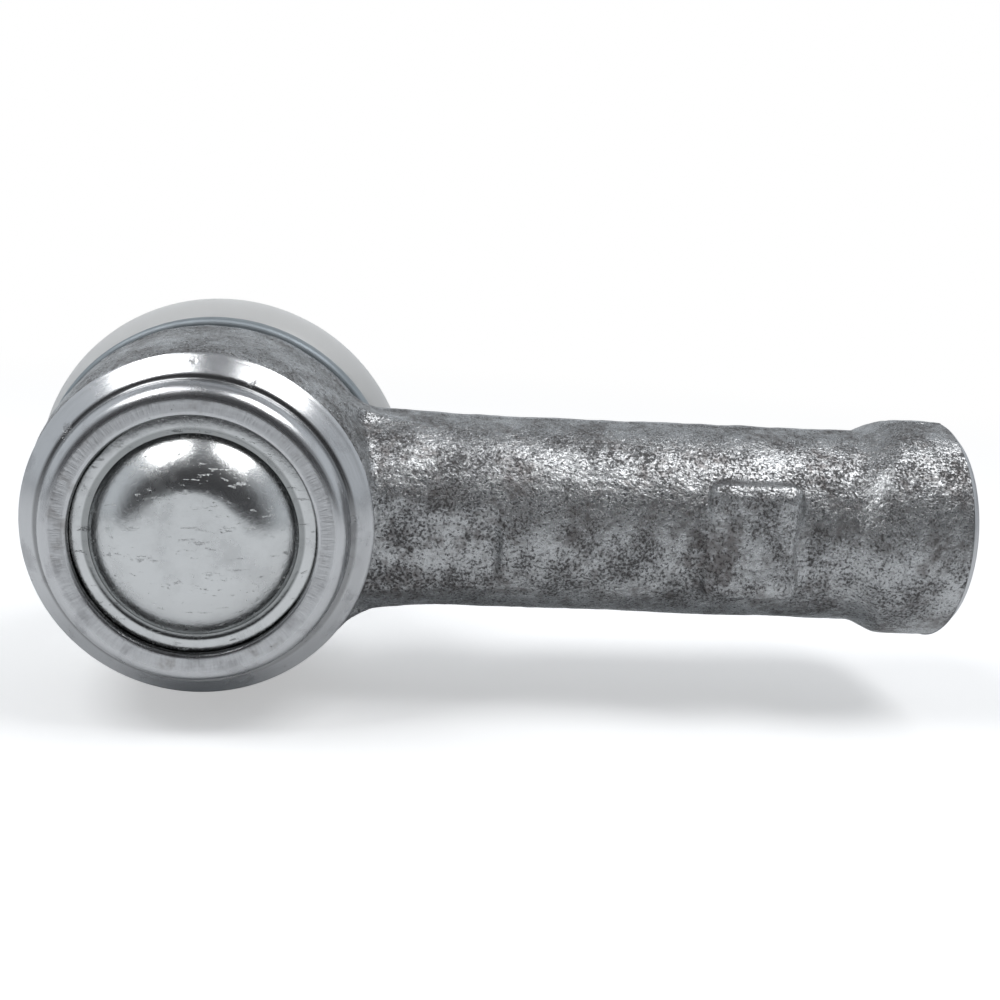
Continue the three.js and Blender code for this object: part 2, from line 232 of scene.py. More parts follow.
def floor_finish(place):
    """Matt white paint that runs out into the white of the room."""
    seen = Shade(place.tree, place.tree.nodes.new("ShaderNodeLightPath").outputs["Is Camera Ray"])
    far = (place - Vector((0.035, 0, 0))).vector("LENGTH", output=1).ramp(0.08, 0.34)
    return {
        "Base Color": (seen * far).mix((0.80, 0.81, 0.82), (0, 0, 0)),
        "Emission Color": seen.mix((0, 0, 0), far.mix((0.42, 0.42, 0.42), (1, 1, 1))),
        "Roughness": 0.8,
    }


floor_paint = finish("floor", floor_finish, Specular_IOR_Level=0.0, Emission_Strength=1.0)
floor = mesh_piece("floor", lay_floor, floor_paint)


# Housing, forged body: barrel, neck, shank, marking pad and collar, drop-forged from carbon steel
# in two dies that part along the rod axis, then shot-blasted and oiled. The rear of the neck and
# the seat face are turned, to let the boot in.
BARREL_R = 19.4
SEAT_Y = 2.1
SHANK_R = 10.85
ROD_FACE_X = 83.3
THROUGH_R = 16.6
STUD_AXIS = (0, 1, 0)
ROD_AXIS = (1, 0, 0)


def arc(r, y, radius, start, stop, steps):
    """Points on a round corner of an outline, with angles in degrees from the +r direction."""
    angles = [math.radians(start + (stop - start) * i / steps) for i in range(steps + 1)]
    return [(r + radius * math.cos(angle), y + radius * math.sin(angle)) for angle in angles]


def turn(bm, outline, axis=STUD_AXIS, steps=192, closed=False):
    """Spin an outline of (radius, along) points, in millimetres, once round the axis."""
    side = Vector((1, 0, 0)) if axis == STUD_AXIS else Vector((0, 0, 1))
    places = [(side * r + Vector(axis) * along) * MM for r, along in outline]
    verts = [bm.verts.new(place) for place in places]
    edges = [bm.edges.new(pair) for pair in zip(verts, verts[1:] + verts[:1] if closed else verts[1:])]
    bmesh.ops.spin(bm, geom=edges, cent=(0, 0, 0), axis=axis, angle=math.tau, steps=steps, use_merge=True)
    bmesh.ops.remove_doubles(bm, verts=bm.verts, dist=1e-7)
    bmesh.ops.recalc_face_normals(bm, faces=bm.faces)


def settle(piece, *modifiers):
    """Give a piece these modifiers, each (kind, settings), and make their result its mesh."""
    for kind, settings in modifiers:
        modifier = piece.modifiers.new(kind.lower(), kind)
        for name, value in settings.items():
            setattr(modifier, name, value)
    graph = bpy.context.evaluated_depsgraph_get()
    mesh = bpy.data.meshes.new_from_object(piece.evaluated_get(graph))
    piece.modifiers.clear()
    piece.data = mesh
    return piece


def step(value, low, high):
    t = min(1, max(0, (value - low) / (high - low)))
    return t * t * (3 - 2 * t)


def forged_blank(bm):
    barrel = [(0, -12.2), (17.6, -12.2), (18.2, -10.5), (18.9, -7), (19.3, -2)]
    turn(bm, barrel + [(BARREL_R, SEAT_Y), (0, SEAT_Y)])
    shank = [(0, 0), (11.2, 0), (11.2, 20), (SHANK_R, 27), (11.15, 74.4), (11.3, 74.9), (12.5, 77.4)]
    turn(bm, shank + [(12.6, 77.9), (12.6, ROD_FACE_X + 2), (0, ROD_FACE_X + 2)], ROD_AXIS, steps=96)
    rise, reach = SHANK_R + 12, BARREL_R + 11.6
    corner_x = math.sqrt(reach**2 - rise**2)
    head_angle = 180 - math.degrees(math.atan2(rise, corner_x))
    below = [(0, -BARREL_R * 0.74)] + arc(corner_x, -rise, 12, head_angle, 90, 10)
    outline = below + [(x, -z) for x, z in reversed(below)]
    verts = [bm.verts.new(Vector((x, -3.6 - 4.2 * step(abs(z), 10.9, 13.5), z)) * MM) for x, z in outline]
    face = bm.faces.new(verts)
    made = bmesh.ops.extrude_face_region(bm, geom=[face])["geom"]
    for vertex in made:
        if isinstance(vertex, bmesh.types.BMVert):
            vertex.co.y = 1.2 * MM
    bmesh.ops.recalc_face_normals(bm, faces=bm.faces)


def marking_pad(bm):
    made = bmesh.ops.create_cube(bm, size=1)
    bmesh.ops.scale(bm, verts=made["verts"], vec=Vector((10.4, 6, 12.8)) * MM)
    corners = [e for e in bm.edges if abs(e.verts[0].co.y - e.verts[1].co.y) > MM]
    bmesh.ops.bevel(bm, geom=corners, offset=1.3 * MM, affect="EDGES", segments=4, profile=0.5, material=-1)
    rim = [e for e in bm.edges if all(v.co.y < -2 * MM for v in e.verts)]
    bmesh.ops.bevel(bm, geom=rim, offset=1.25 * MM, affect="EDGES", segments=1, profile=0.5, material=-1)
    bmesh.ops.scale(bm, verts=bm.verts, vec=(1, 0.68, 1))
    bmesh.ops.translate(bm, verts=bm.verts, vec=Vector((59.2, -9.80, 0.1)) * MM)


def lean_collar(piece):
    """The dies make the collar start nearer the head on the two faces than at the parting line."""
    for vertex in piece.data.vertices:
        x, y, z = vertex.co / MM
        if x > 62:
            faces = (abs(y) / max(math.hypot(y, z), 1)) ** 1.5
            vertex.co.x -= 4.2 * faces * step(x, 62, 72) * (1 - step(x, 79, 82.5)) * MM


NECK_FLAT = Vector((0, -0.981, -0.194))
NECK_FLAT_AT = 9.75


def flatten_neck(piece):
    """Both dies press a flat on the neck's front, from the head to a small step in the shank."""
    for vertex in piece.data.vertices:
        depth = vertex.co.dot(NECK_FLAT) / MM - NECK_FLAT_AT
        if depth > 0 and 17 < vertex.co.x / MM < 33:
            held = (1 - step(vertex.co.x / MM, 31.0, 31.9)) * (1 - step(-vertex.co.z / MM, 8.5, 12))
            vertex.co -= NECK_FLAT * depth * held * MM


def forge_skin(piece):
    """Die wear, scale marks and the trimmed flash line along the parting plane."""
    normals = [vertex.normal.copy() for vertex in piece.data.vertices]
    for vertex, normal in zip(piece.data.vertices, normals):
        place = vertex.co / MM
        swell = noise.noise(place / 7) * 0.10 + noise.noise(place / 2.6) * 0.055 + noise.noise(place) * 0.03
        trimmed = abs(normal.y) < 0.5 and abs(place.y - 0.4 + 0.3 * noise.noise(place / 5)) < 0.9
        flash = 0.10 + 0.08 * noise.noise(place / 3) if trimmed else 0
        vertex.co += normal * (swell + flash) * MM


forging = mesh_piece("housing_forging", forged_blank, None)
voxels = {"mode": "VOXEL", "voxel_size": 0.42 * MM}
settle(forging, ("REMESH", voxels), ("SMOOTH", {"factor": 0.6, "iterations": 5}))
lean_collar(forging)
flatten_neck(forging)
pad = mesh_piece("marking_pad", marking_pad, None)
bm = bmesh.new()
bm.from_mesh(forging.data)
bm.from_mesh(pad.data)
bm.to_mesh(forging.data)
bm.free()
bpy.data.objects.remove(pad)
voxels["voxel_size"] = 0.34 * MM
settle(forging, ("REMESH", voxels), ("SMOOTH", {"factor": 0.5, "iterations": 2}))
forge_skin(forging)


def tool(name, outline, axis=STUD_AXIS):
    return mesh_piece(name, lambda bm: turn(bm, outline, axis), None)


seat_turning = [(THROUGH_R - 1, SEAT_Y), (23.6, SEAT_Y)]
cutters = [
    tool("through_bore", [(0, -30), (THROUGH_R, -30), (THROUGH_R, 30), (0, 30)]),
    tool("boot_relief", seat_turning + [(24.6, 4.6), (33, 11.8), (33, 20), (THROUGH_R - 1, 20)]),
    tool("rod_bore", [(0, 30), (8, 38), (8, 90), (0, 90)], ROD_AXIS),
    tool("end_face", [(0, ROD_FACE_X), (20, ROD_FACE_X), (20, 90), (0, 90)], ROD_AXIS),
]
for cutter in cutters:
    settle(forging, ("BOOLEAN", {"object": cutter, "operation": "DIFFERENCE", "solver": "EXACT"}))
    bpy.data.objects.remove(cutter)
shade_smooth(forging, 40)


def blasted_steel(place):
    """Bright rippled skin, crowded in places with small dark pits, and browned where scale was."""
    along = place.stretch(0.8, 1, 1)
    ripple = along.grain(0.00075, 2, 0.5)
    fine = along.grain(0.00028, 3, 0.6)
    crowd = place.grain(0.0042, 4, 0.62)
    pits = (place.grain(0.00030, 4, 0.65) + crowd * 0.40 - 0.755).ramp(-0.07, 0.09)
    scale = (place.grain(0.0050, 5, 0.7) + place.grain(0.0008, 4) * 0.6).ramp(0.74, 1.04)
    steel = crowd.ramp(0.35, 0.65).mix((0.56, 0.57, 0.58), (0.36, 0.365, 0.372))
    brown = (scale * 0.62).mix(steel, (0.075, 0.054, 0.047))
    height = ripple * 0.62 + fine * 0.38 - pits * 0.18
    return {
        "Base Color": (pits * 0.85).mix(brown, (0.040, 0.036, 0.035)),
        "Metallic": pits.ramp(0, 1, 0.96, 0.5),
        "Roughness": fine.ramp(0.3, 0.7, 0.20, 0.34) + scale * 0.10 + pits * 0.12,
        "Normal": height.bump(0.00024),
    }


forging.data.materials.clear()
forging.data.materials.append(finish("blasted_steel", blasted_steel))
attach(forging, "housing")
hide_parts("housing")


# Housing, turned head: the lip that is rolled over the cap, the rim, the flange and the boot seat,
# all turned bright in one chucking, with the bearing bore behind them.
LIP_TOP_Y = -17.16
MOUTH_Y = 10.5
CORE_R = 16.8

rim = (
    [(12.25, -16.27), (12.25, -16.55)]
    + arc(12.65, -16.76, 0.4, 180, 270, 8)
    + [(13.1, LIP_TOP_Y - 0.01), (13.62, LIP_TOP_Y)]
    + arc(13.72, -15.45, 1.72, -88, -18, 18)
    + [(15.50, -15.6), (15.56, -14.9), (15.62, -14.66), (15.76, -14.54), (15.94, -14.49), (16.10, -14.42)]
)
flange = [(16.28, -14.27), (16.8, -13.78), (17.3, -13.30), (17.64, -13.00), (17.86, -12.84), (18.0, -12.64)]
flange += [(17.98, -12.3), (17.85, -12.0), (17.4, -11.86), (CORE_R, -11.8)]
seat = [(CORE_R, 5.55), (17.15, 5.75), (17.4, 5.95), (17.4, 9.4), (17.2, 9.8), (16.4, 10.42)]
mouth = [(16.2, MOUTH_Y), (12.15, MOUTH_Y), (11.9, 10.3), (10.4, 8.0), (12.8, 4.6)]
bore = [(12.8, -14.5), (13.25, -14.5), (13.25, -16.27)]
NICKS = [(-12.6, 10.0, 0.8), (-12.9, 9.2, 0.5), (15.8, 2.1, 0.7), (5.3, 15.4, 0.6), (-0.6, 17.2, 0.5)]


def turned_head(bm):
    turn(bm, rim + flange + seat + mouth + bore, steps=256, closed=True)


def turned_steel(place):
    """Bright cut steel: fine turning rings, chatter marks on the rolled lip, oil and a few nicks."""
    across, up = place.part("X"), place.part("Z")
    radius = (across * across + up * up).math("SQRT")
    angle = up.math("ARCTAN2", across)
    ring_place = place.node("CombineXYZ", None, {0: radius, 1: place.part("Y"), 2: angle * 0.0006})
    rings = ring_place.grain(0.00010, 3, 0.7)
    broad = ring_place.grain(0.0006, 2)
    on_lip = radius.ramp(0.0125, 0.0128) * radius.ramp(0.0142, 0.0139)
    chatter_place = place.node("CombineXYZ", None, {0: angle * 0.013, 1: radius * 0.12, 2: 0.0})
    chatter = chatter_place.grain(0.00022, 3, 0.6)
    stain = place.grain(0.004, 4, 0.6).ramp(0.5, 0.75)
    oil = radius.ramp(0.0147, 0.0136) * place.grain(0.0050, 4, 0.7).ramp(0.52, 0.72) * 0.6
    # Dark rings in the gap under the lip, against the cap, and in the groove at the foot of the flange's
    # cone: painted shade in these corners, with grease and grime in them too.
    flange_groove_shade_and_grime = radius.ramp(0.01550, 0.01570) * radius.ramp(0.01640, 0.01600)
    gap_shade_and_grime = radius.ramp(0.01245, 0.01225) + flange_groove_shade_and_grime * 0.6
    marks = place.grain(0.0011, 4, 0.75).ramp(0.68, 0.73)
    for x, z, size in NICKS:
        near = (place - Vector((x, -14, z)) * MM).stretch(1, 0.2, 1).vector("LENGTH", output=1)
        marks = marks.math("MAXIMUM", near.ramp(size * MM, 0) * place.grain(0.0003, 3).ramp(0.45, 0.55))
    bright = (rings * 0.5 + stain * 0.6).ramp(0.1, 0.9)
    steel = bright.mix((0.66, 0.67, 0.685), (0.50, 0.505, 0.52))
    lined = (on_lip * chatter.ramp(0.4, 0.6) * stain.ramp(0, 1, 0.10, 0.34)).mix(steel, (0.30, 0.30, 0.31))
    oily = (oil * 0.95).mix(lined, (0.15, 0.125, 0.105))
    return {
        "Base Color": (marks * 0.6).math("MAXIMUM", gap_shade_and_grime * 0.85).mix(oily, (0.05, 0.048, 0.045)),
        "Metallic": 1.0,
        "Roughness": rings * 0.12 + on_lip * chatter * 0.22 + stain * 0.08 + 0.18,
        "Normal": (rings * 0.30 + broad * 0.6 + on_lip * chatter * 1.8 - marks * 1.4).bump(0.00003),
    }


turned_finish = finish("turned_steel", turned_steel)
head = mesh_piece("housing_turned_head", turned_head, turned_finish, smooth_angle=28)
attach(head, "housing")
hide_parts("housing")


# Housing, rod end: the faced and chamfered end of the collar and the blind M14 x 1.5 thread that
# the inner tie rod screws into, with its drill point.
ROD_END_X = 84.3
ROD_THREAD_R = 6.5
ROD_PITCH = 1.5
ROD_THREAD_DEPTH = 46


def cut_thread(verts, axis, start, stop, pitch, pitch_r, outward):
    """Move the walls of a plain cylinder to a helical thread of 60 degree flanks, faded at its ends."""
    for vertex in verts:
        along = vertex.co.dot(axis) / MM
        if not start <= along <= stop:
            continue
        flat = vertex.co - Vector(axis) * along * MM
        across = flat.cross(Vector(axis))
        turns = math.atan2(flat.z, flat.x if axis == STUD_AXIS else flat.y) / math.tau
        if axis == STUD_AXIS:
            turns = -turns
        phase = (along / pitch - turns) % 1
        wave = abs(phase - 0.5) * 4 - 1
        crest = max(-0.75, min(0.75, wave)) * 0.31 * pitch
        fade = step(along, start, start + pitch) * (1 - step(along, stop - pitch * 0.6, stop))
        radius = pitch_r + crest * fade * outward
        vertex.co = Vector(axis) * along * MM + flat.normalized() * radius * MM


def rod_end(bm):
    floor_x = ROD_END_X - ROD_THREAD_DEPTH
    rows = int(ROD_THREAD_DEPTH / ROD_PITCH * 8)
    wall = [(ROD_THREAD_R, floor_x + (ROD_THREAD_DEPTH - 0.9) * i / rows) for i in range(rows + 1)]
    outer = [(7.5, ROD_END_X - 0.05), (7.65, ROD_END_X), (11.6, ROD_END_X), (11.78, ROD_END_X - 0.06)]
    outer += [(12.60, ROD_FACE_X + 0.12), (12.66, ROD_FACE_X + 0.02), (12.3, ROD_FACE_X - 0.12)]
    back = [(8.05, ROD_FACE_X - 0.12), (8.05, floor_x - 2), (5, floor_x - 6), (0, floor_x - 6)]
    drill = [(0, floor_x - ROD_THREAD_R * 0.577)]
    turn(bm, drill + wall + outer + back, ROD_AXIS, steps=96)
    low = floor_x + 1
    inside = [v for v in bm.verts if math.hypot(v.co.y, v.co.z) < (ROD_THREAD_R + 0.1) * MM]
    cut_thread(inside, ROD_AXIS, low, ROD_END_X - 0.95, ROD_PITCH, ROD_THREAD_R, 1)


def faced_steel(place):
    """Facing cuts that run round the rod axis, with a slightly oily, darker thread."""
    depth, up = place.part("Y"), place.part("Z")
    radius = (depth * depth + up * up).math("SQRT")
    ring_place = place.node("CombineXYZ", None, {0: radius, 1: place.part("X"), 2: 0.0})
    rings = ring_place.grain(0.00010, 3, 0.7)
    in_bore = radius.ramp(0.0078, 0.0074)
    stain = place.grain(0.003, 3)
    return {
        "Base Color": (in_bore * 0.6 + stain * 0.2).mix((0.62, 0.63, 0.65), (0.24, 0.235, 0.23)),
        "Metallic": 1.0,
        "Roughness": rings * 0.12 + 0.22 + in_bore * 0.1,
        "Normal": (rings * 0.4).bump(0.00003),
    }


collar_end = mesh_piece("housing_rod_end", rod_end, finish("faced_steel", faced_steel), smooth_angle=28)
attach(collar_end, "housing")
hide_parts("housing")


# Closing cap: a dished disc pressed from sheet steel and zinc-plated, held under the rolled lip.
# Its dome leaves room for the grease and the spring.
CAP_RIM_R = 13.15
CAP_SEAT_Y = -14.6
CAP_TOP_Y = -16.17
DOME_TOP_Y = -19.5
DOME_FLAT_R = 4.9
DOME_SHOULDER_R = 10.1
DOME_CROWN = 3.03
CAP_WALL = 1.5


def crown(depth, steps):
    """Crown of the dome, from its flat to its shoulder, for a skin that lies depth below the top."""
    width = DOME_SHOULDER_R - depth - DOME_FLAT_R
    shares = [i / steps for i in range(steps + 1)]
    return [(DOME_FLAT_R + width * s, DOME_TOP_Y + depth + DOME_CROWN * s**1.91) for s in shares]


def pressed_cap(bm):
    foot = [(10.26, -16.2), (10.42, -16.06), (10.68, -16.06), (10.84, -16.13)]
    foot += [(10.98, CAP_TOP_Y), (11.05, CAP_TOP_Y)]
    under = [(11.0, CAP_SEAT_Y), (9.5, CAP_SEAT_Y)] + crown(CAP_WALL, 12)[::-1]
    edge = [(11.15, CAP_TOP_Y), (13, CAP_TOP_Y), (CAP_RIM_R, CAP_TOP_Y + 0.1), (CAP_RIM_R, CAP_SEAT_Y)]
    outline = [(0, DOME_TOP_Y)] + crown(0, 28) + foot + edge + under
    turn(bm, outline + [(0, DOME_TOP_Y + CAP_WALL)], steps=256)


def bright_zinc(place):
    """Bright zinc over cold-drawn sheet: soft waves, small scuffs, and painted shade and dirt in its
    corners.
    """
    across, up = place.part("X"), place.part("Z")
    radius = (across * across + up * up).math("SQRT")
    waves = place.grain(0.0030, 2)
    peel = place.grain(0.00045, 3, 0.6)
    scuffs = place.stretch(0.35, 1, 1.3).grain(0.0010, 5, 0.8).ramp(0.60, 0.68)
    stain = place.grain(0.0045, 4, 0.65).ramp(0.42, 0.72)
    uneven = place.grain(0.003, 2) * 0.0004
    # A dark ring round the foot of the dome and a dark edge in the gap under the lip: painted shade in
    # these corners, with some dirt.
    foot = (radius + uneven).ramp(0.0101, 0.0106) * radius.ramp(0.01115, 0.0109)
    lip_gap_shade_and_dirt = (radius + uneven).ramp(0.01225, 0.0124)
    zinc = (stain * 0.5).mix((0.73, 0.745, 0.75), (0.58, 0.59, 0.595))
    zinc_with_shade_and_dirt = (foot * 0.5 + lip_gap_shade_and_dirt).mix(zinc, (0.055, 0.065, 0.062))
    return {
        "Base Color": (scuffs * 0.35).mix(zinc_with_shade_and_dirt, (0.30, 0.31, 0.32)),
        "Metallic": 1.0,
        "Roughness": stain * 0.10 + scuffs * 0.15 + peel * 0.10 + 0.17,
        "Normal": (waves * 1.1 + peel * 0.30 - scuffs * 0.4).bump(0.00005),
    }


cap = mesh_piece("closing_cap_pressing", pressed_cap, finish("bright_zinc", bright_zinc), smooth_angle=40)
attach(cap, "housing")
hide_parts("closing_cap")


# Bearing: two acetal shells round the ball, preloaded by a disc spring under the cap. They are
# sealed in, and keep the shapes of the CAD model.
def acetal(place):
    flow = place.grain(0.004, 3)
    return {
        "Base Color": flow.mix((0.80, 0.78, 0.71), (0.74, 0.715, 0.64)),
        "Roughness": place.grain(0.0006, 2).ramp(0.3, 0.7, 0.34, 0.5),
        "Normal": place.grain(0.0005, 3).bump(0.00002),
    }


def spring_steel(place):
    blue = place.grain(0.003, 3).ramp(0.4, 0.7)
    return {
        "Base Color": blue.mix((0.30, 0.31, 0.33), (0.17, 0.165, 0.18)),
        "Metallic": 1.0,
        "Roughness": place.grain(0.0005, 3).ramp(0.3, 0.7, 0.26, 0.42),
        "Normal": place.grain(0.0003, 3).bump(0.00002),
    }


spring_finish = finish("spring_steel", spring_steel)
acetal_finish = finish("acetal", acetal)
for node, material in (
    ("disc_spring", spring_finish),
    ("pressure_pad", acetal_finish),
    ("bearing_shell", acetal_finish),
):
    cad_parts[node].data.materials.clear()
    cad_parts[node].data.materials.append(material)


# Ball stud: cold-forged and ground in one piece. A 22 mm ball, a neck, the cylinder that the boot
# runs on, a 1:10 taper for the steering arm, and an M12 x 1.25 thread with a hexagon socket.
BALL_R = 11
NECK_R = 6.2
TAPER_Y = 28.2
TAPER_END_Y = 46.2
STUD_THREAD_R = 5.6
STUD_PITCH = 1.25
STUD_END_Y = 65.5
SOCKET_ACROSS = 6


def stud_body(bm):
    start = -math.degrees(math.acos(3.4 / BALL_R))
    stop = math.degrees(math.acos(NECK_R / BALL_R))
    ball = [(0, BALL_R * math.sin(math.radians(start)))] + arc(0, 0, BALL_R, start, stop, 64)
    neck = [(NECK_R + 0.02, 9.6), (NECK_R, 10.2), (NECK_R, 15.3), (6.35, 15.75), (7.05, 17.2), (7.2, 17.6)]
    taper = [(7.2, TAPER_Y - 0.3), (7.1, TAPER_Y), (6.2, TAPER_END_Y), (6.05, TAPER_END_Y + 0.15)]
    relief = [(5.15, TAPER_END_Y + 0.7), (5.1, TAPER_END_Y + 1.7), (5.55, TAPER_END_Y + 2.2)]
    rows = int(17 / STUD_PITCH * 10)
    wall = [(STUD_THREAD_R, TAPER_END_Y + 2.3 + 16 * i / rows) for i in range(rows + 1)]
    end = [(5.3, STUD_END_Y - 0.35), (4.75, STUD_END_Y), (0, STUD_END_Y)]
    turn(bm, ball + neck + taper + relief + wall + end, steps=96)
    outside = [v for v in bm.verts if math.hypot(v.co.x, v.co.z) > (STUD_THREAD_R - 0.01) * MM]
    cut_thread(outside, STUD_AXIS, TAPER_END_Y + 2.25, STUD_END_Y - 0.9, STUD_PITCH, STUD_THREAD_R, 1)


def hexagon(across, y, height):
    """A hexagonal bar round the stud axis, from y upwards, in millimetres."""

    def build(bm):
        corner = across / math.sqrt(3)
        turned_bar = [(0, y), (corner, y), (corner, y + height), (0, y + height)]
        turn(bm, turned_bar, steps=6)

    return build


def ground_steel(place):
    """Ground and rolled steel: fine rings round the stud, a darker, oily thread."""
    across, up, along = place.part("X"), place.part("Z"), place.part("Y")
    radius = (across * across + up * up).math("SQRT")
    rings = place.node("CombineXYZ", None, {0: radius, 1: along, 2: 0.0}).grain(0.00007, 3, 0.7)
    threaded = along.ramp(TAPER_END_Y * MM, (TAPER_END_Y + 1) * MM)
    stain = place.grain(0.005, 4, 0.6).ramp(0.45, 0.75)
    return {
        "Base Color": (threaded * 0.45 + stain * 0.25).mix((0.63, 0.635, 0.645), (0.27, 0.265, 0.26)),
        "Metallic": 1.0,
        "Roughness": rings * 0.12 + stain * 0.12 + threaded * 0.1 + 0.15,
        "Normal": (rings * 0.35).bump(0.00003),
    }


stud = mesh_piece("ball_stud_ground", stud_body, finish("ground_steel", ground_steel), smooth_angle=28)
key = mesh_piece("socket_punch", hexagon(SOCKET_ACROSS, STUD_END_Y - 5, 8), None)
settle(stud, ("BOOLEAN", {"object": key, "operation": "DIFFERENCE", "solver": "EXACT"}))
bpy.data.objects.remove(key)
shade_smooth(stud, 28)
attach(stud, "stud")
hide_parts("ball_stud")


# Dust boot: one moulding in natural, milky elastomer. Its bead sits in the groove on the head, two
# folds let the stud tilt, and its neck grips the stud. It is made as two halves that meet on the
# waist.
BOOT_WALL = 1.1
WAIST_R = 14.3
WAIST_Y = 16.4


def spline(points, steps):
    """A smooth curve through points, as a uniform Catmull-Rom spline."""
    ends = [2 * points[0] - points[1]] + points + [2 * points[-1] - points[-2]]
    curve = []
    for before, a, b, after in zip(ends, ends[1:], ends[2:], ends[3:]):
        for i in range(steps):
            t = i / steps
            bend = (2 * before - 5 * a + 4 * b - after) * t * t + (3 * a - before - 3 * b + after) * t**3
            curve.append((2 * a + (b - before) * t + bend) / 2)
    return curve + [points[-1]]


lower_fold = [(18.05, 5.3), (20.3, 7.2), (21.7, 11.2), (18.8, 14.4)]
upper_fold = [(16.6, 19.2), (13.2, 21.6), (9.3, 23.4)]
outer = spline([Vector(point) for point in lower_fold + [(WAIST_R, WAIST_Y)] + upper_fold], 8)
slopes = [b - a for a, b in zip(outer[:1] + outer, outer[1:] + outer[-1:])]
inner = [p + Vector((-d.y, d.x)).normalized() * BOOT_WALL for p, d in zip(outer, slopes)]
waist = min(range(len(outer)), key=lambda i: (outer[i] - Vector((WAIST_R, WAIST_Y))).length)


def lower_boot(bm):
    bead = [(16.95, 5.4), (16.95, 2.5), (17.1, 2.35), (17.9, 2.35), (18.05, 2.5)]
    turn(bm, outer[: waist + 1] + inner[2 : waist + 1][::-1] + bead, steps=160, closed=True)


def upper_boot(bm):
    groove = [(9.3, 24.5), (9.15, 24.62), (8.6, 24.68), (8.45, 24.85)]
    groove += [(8.45, 26.15), (8.6, 26.32), (9.15, 26.38), (9.3, 26.5)]
    neck = [(9.3, 27.5), (9.1, 27.8), (7.5, 27.8), (7.3, 27.6), (7.3, 24.4)]
    turn(bm, outer[waist:] + groove + neck + inner[waist:-1][::-1], steps=160, closed=True)


def milky_elastomer(place):
    """Natural moulded elastomer: even and satin, with faint flow marks and fine dust."""
    flow = place.stretch(1, 0.5, 1).grain(0.006, 3)
    dust = place.grain(0.0008, 4, 0.7).ramp(0.60, 0.75)
    return {
        "Base Color": (flow * 0.4 + dust * 0.15).mix((0.71, 0.715, 0.71), (0.63, 0.635, 0.63)),
        "Roughness": dust * 0.2 + flow * 0.1 + 0.30,
        "Normal": (place.grain(0.0035, 2) + place.grain(0.0003, 2) * 0.08).bump(0.00006),
    }


boot_finish = finish(
    "milky_elastomer",
    milky_elastomer,
    Subsurface_Weight=0.6,
    Subsurface_Radius=(0.004, 0.004, 0.004),
    Subsurface_Scale=1.0,
    IOR=1.5,
)
for name, build, bodies, start_y, stop_y in (
    ("dust_boot_lower_half", lower_boot, ("housing", "boot"), 5.6, WAIST_Y - 0.5),
    ("dust_boot_upper_half", upper_boot, ("boot", "boot_neck"), WAIST_Y + 0.5, 24.0),
):
    half = mesh_piece(name, build, boot_finish, smooth_angle=50)
    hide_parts("dust_boot")
    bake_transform(half)


# Boot clamp ring: a closed ring of zinc-plated steel, pressed over the boot's bead on the head.
CLAMP_INNER_R = 18.25
CLAMP_OUTER_R = 20.1
CLAMP_Y = 2.4
CLAMP_END_Y = 5.06


def clamp_ring(bm):
    front = arc(CLAMP_OUTER_R - 0.75, CLAMP_Y + 0.75, 0.75, -90, 0, 8)
    back = arc(CLAMP_OUTER_R - 0.3, CLAMP_END_Y - 0.3, 0.3, 0, 90, 5)
    inside = [(CLAMP_INNER_R, CLAMP_END_Y), (CLAMP_INNER_R, CLAMP_Y)]
    turn(bm, front + back + inside, steps=256, closed=True)


def satin_zinc(place):
    """Satin zinc on a rolled ring, with drawing lines round it and small bright rubs."""
    across, up = place.part("X"), place.part("Z")
    radius = (across * across + up * up).math("SQRT")
    lines = place.node("CombineXYZ", None, {0: radius, 1: place.part("Y"), 2: 0.0}).grain(0.00012, 3, 0.6)
    cloud = place.grain(0.003, 4, 0.6)
    return {
        "Base Color": cloud.ramp(0.3, 0.7).mix((0.36, 0.40, 0.43), (0.30, 0.335, 0.36)),
        "Metallic": 0.9,
        "Roughness": lines * 0.14 + cloud * 0.1 + 0.42,
        "Normal": (lines * 0.5 + cloud * 0.6).bump(0.00003),
    }


clamp = mesh_piece("boot_clamp_ring_rolled", clamp_ring, finish("satin_zinc", satin_zinc), smooth_angle=40)
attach(clamp, "housing")
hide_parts("boot_clamp_ring")


# Boot neck ring: a spring wire wound twice round the boot's neck, in its groove.
NECK_RING_R = 9.0
NECK_RING_Y = 25.5
NECK_WIRE_R = 0.36


def neck_ring(bm):
    turns, pitch, steps = 2, 0.76, 192
    section = [
        Vector((NECK_RING_R + NECK_WIRE_R * math.cos(a), NECK_WIRE_R * math.sin(a), 0)) * MM
        for a in (math.tau * i / 12 for i in range(12))
    ]
    foot = Vector((0, NECK_RING_Y - pitch * turns / 2, 0)) * MM
    verts = [bm.verts.new(point + foot) for point in section]
    face = bm.faces.new(verts)
    rise = Vector((0, pitch * turns / steps * MM, 0))
    kept = [face] + list(face.edges) + list(face.verts)
    bmesh.ops.spin(
        bm, geom=kept, cent=(0, 0, 0), axis=STUD_AXIS, dvec=rise, angle=math.tau * turns, steps=steps
    )
    bmesh.ops.remove_doubles(bm, verts=bm.verts, dist=1e-7)
    bmesh.ops.recalc_face_normals(bm, faces=bm.faces)


neck_wire = mesh_piece("boot_neck_ring_wire", neck_ring, spring_finish, smooth_angle=60)
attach(neck_wire, "boot_neck")
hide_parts("boot_neck_ring")


# Self-locking nut: an 18 mm hexagon with chamfered corners and a collar that is rolled over a
# nylon ring, zinc-plated and passivated. It is delivered spun on to the end of the stud.
NUT_Y = 52
NUT_ACROSS = 18
NUT_HEX_TOP = 61
NUT_TOP = 64
COLLAR_R = 8.3
INSERT_R = 7.4
INSERT_Y = 61.1
INSERT_LENGTH = 2.2


def nut_tool(outline):
    return lambda bm: turn(bm, outline, steps=128)


